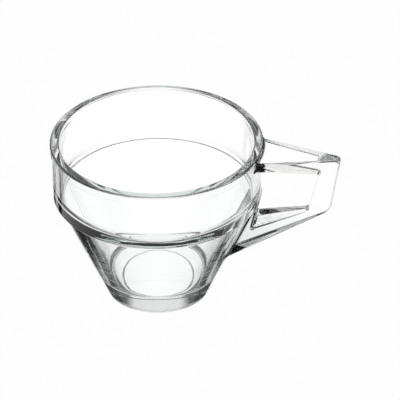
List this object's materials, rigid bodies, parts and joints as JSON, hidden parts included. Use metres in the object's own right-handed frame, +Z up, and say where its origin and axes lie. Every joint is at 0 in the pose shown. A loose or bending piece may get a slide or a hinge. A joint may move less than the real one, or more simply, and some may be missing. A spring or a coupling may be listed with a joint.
{
  "type": "cortado glass",
  "caption": "Clear pressed-glass coffee cup with an upright band, a tapered bowl, a thick base and an angular glass handle with a finger gap.",
  "frame": {"origin": "centre of the ring the cup stands on, at table level, on the cup's axis", "axes": "+Z up along the cup's axis, +X towards the handle, +Y across the handle"},
  "size_m": [0.115, 0.084, 0.0693],
  "materials": {
    "clear_glass": "clear pressed soda-lime glass, fire-polished, with a slight green tint where it is thick"
  },
  "bodies": {
    "root": {"lip": "clear_glass", "upper_band": "clear_glass", "bowl_wall": "clear_glass", "base": "clear_glass", "handle_upper_arm": "clear_glass", "handle_grip": "clear_glass", "handle_lower_arm": "clear_glass"}
  },
  "joints": []
}
